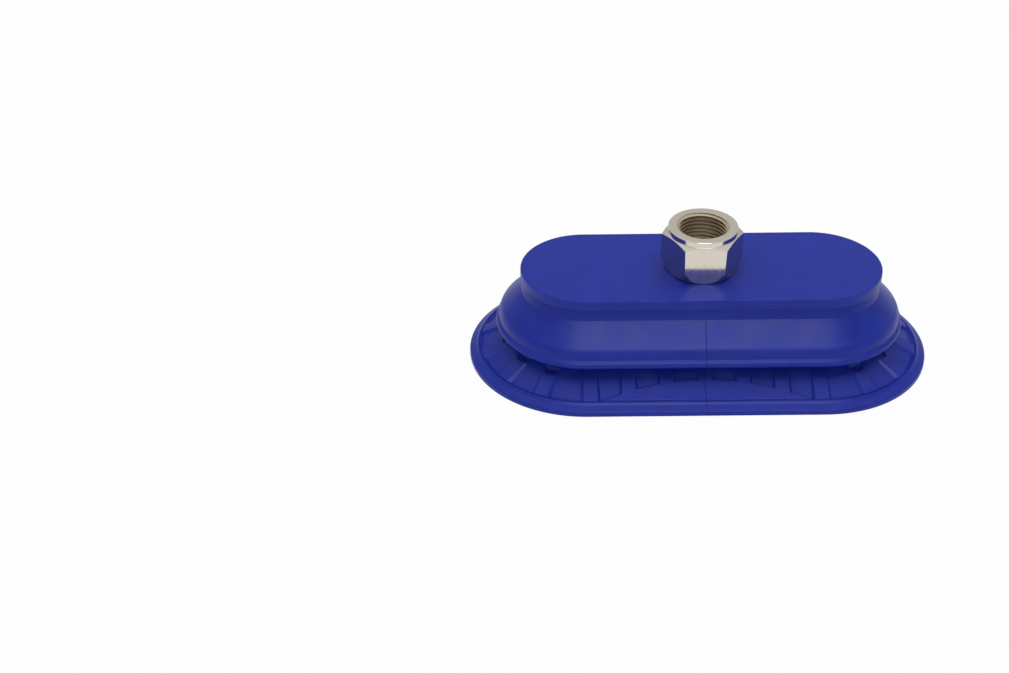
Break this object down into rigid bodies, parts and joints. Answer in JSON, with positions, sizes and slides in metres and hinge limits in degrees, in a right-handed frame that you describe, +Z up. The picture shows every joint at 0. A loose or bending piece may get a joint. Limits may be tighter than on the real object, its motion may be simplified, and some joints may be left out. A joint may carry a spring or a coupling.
{
  "type": "oval bellows suction cup",
  "caption": "Oval bellows suction cup: blue elastomer body with one fold, ribbed sealing lip and cleated tread, and a nickel-plated hexagon connector with a female pipe thread.",
  "frame": {"origin": "middle of the oval face that the sealing lip lies on", "axes": "+Z up along the connector's thread, X along the oval's length, Y across it"},
  "size_m": [0.15, 0.0754, 0.0471],
  "materials": {
    "elastomer": "semi-matte moulded elastomer",
    "nickel_plated": "bright nickel plating"
  },
  "bodies": {
    "root": {"cup_body": "elastomer", "connector": "nickel_plated"}
  },
  "joints": []
}
